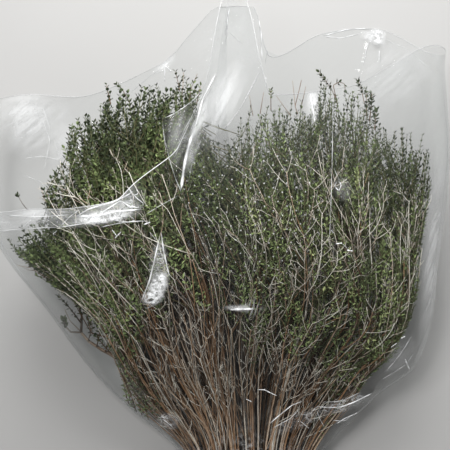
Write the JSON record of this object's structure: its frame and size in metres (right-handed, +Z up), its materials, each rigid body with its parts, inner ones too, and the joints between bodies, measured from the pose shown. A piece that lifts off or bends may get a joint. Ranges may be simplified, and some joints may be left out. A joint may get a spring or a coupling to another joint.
{
  "type": "thyme bundle",
  "caption": "Bundle of cut thyme lying on its side: woody stems tied at the neck, leafy sprays fanning out in two lobes, inside a loose clear film wrap.",
  "frame": {"origin": "middle of the underside of the bounding box, on the surface that the bundle lies on", "axes": "+Y along the stems from the cut ends to the tips, +X across the fan, +Z up from the surface"},
  "size_m": [0.561, 0.6904, 0.2362],
  "materials": {
    "woody_stem": "dry brown bark, paler and greyer towards the twigs, matt",
    "thyme_leaf": "small grey-green leaves, satin above and paler and matt below",
    "clear_film": "clear, thin and glossy, softly creased",
    "rubber_band": "tan rubber, slightly glossy"
  },
  "bodies": {
    "root": {"woody_stem_01": "woody_stem", "woody_stem_02": "woody_stem", "woody_stem_03": "woody_stem", "woody_stem_04": "woody_stem", "woody_stem_05": "woody_stem", "woody_stem_06": "woody_stem", "woody_stem_07": "woody_stem", "woody_stem_08": "woody_stem", "woody_stem_09": "woody_stem", "woody_stem_10": "woody_stem", "woody_stem_11": "woody_stem", "woody_stem_12": "woody_stem", "woody_stem_13": "woody_stem", "woody_stem_14": "woody_stem", "woody_stem_15": "woody_stem", "woody_stem_16": "woody_stem", "woody_stem_17": "woody_stem", "woody_stem_18": "woody_stem", "woody_stem_19": "woody_stem", "woody_stem_20": "woody_stem", "woody_stem_21": "woody_stem", "woody_stem_22": "woody_stem", "woody_stem_23": "woody_stem", "woody_stem_24": "woody_stem", "woody_stem_25": "woody_stem", "woody_stem_26": "woody_stem", "woody_stem_27": "woody_stem", "woody_stem_28": "woody_stem", "leafy_spray_01": "thyme_leaf", "leafy_spray_02": "thyme_leaf", "leafy_spray_03": "thyme_leaf", "leafy_spray_04": "thyme_leaf", "leafy_spray_05": "thyme_leaf", "leafy_spray_06": "thyme_leaf", "leafy_spray_07": "thyme_leaf", "leafy_spray_08": "thyme_leaf", "leafy_spray_09": "thyme_leaf", "leafy_spray_10": "thyme_leaf", "leafy_spray_11": "thyme_leaf", "leafy_spray_12": "thyme_leaf", "leafy_spray_13": "thyme_leaf", "leafy_spray_14": "thyme_leaf", "leafy_spray_15": "thyme_leaf", "leafy_spray_16": "thyme_leaf", "leafy_spray_17": "thyme_leaf", "leafy_spray_18": "thyme_leaf", "leafy_spray_19": "thyme_leaf", "leafy_spray_20": "thyme_leaf", "leafy_spray_21": "thyme_leaf", "leafy_spray_22": "thyme_leaf", "leafy_spray_23": "thyme_leaf", "leafy_spray_24": "thyme_leaf", "leafy_spray_25": "thyme_leaf", "leafy_spray_26": "thyme_leaf", "leafy_spray_27": "thyme_leaf", "leafy_spray_28": "thyme_leaf", "film_wrap": "clear_film", "neck_band": "rubber_band"}
  },
  "joints": []
}
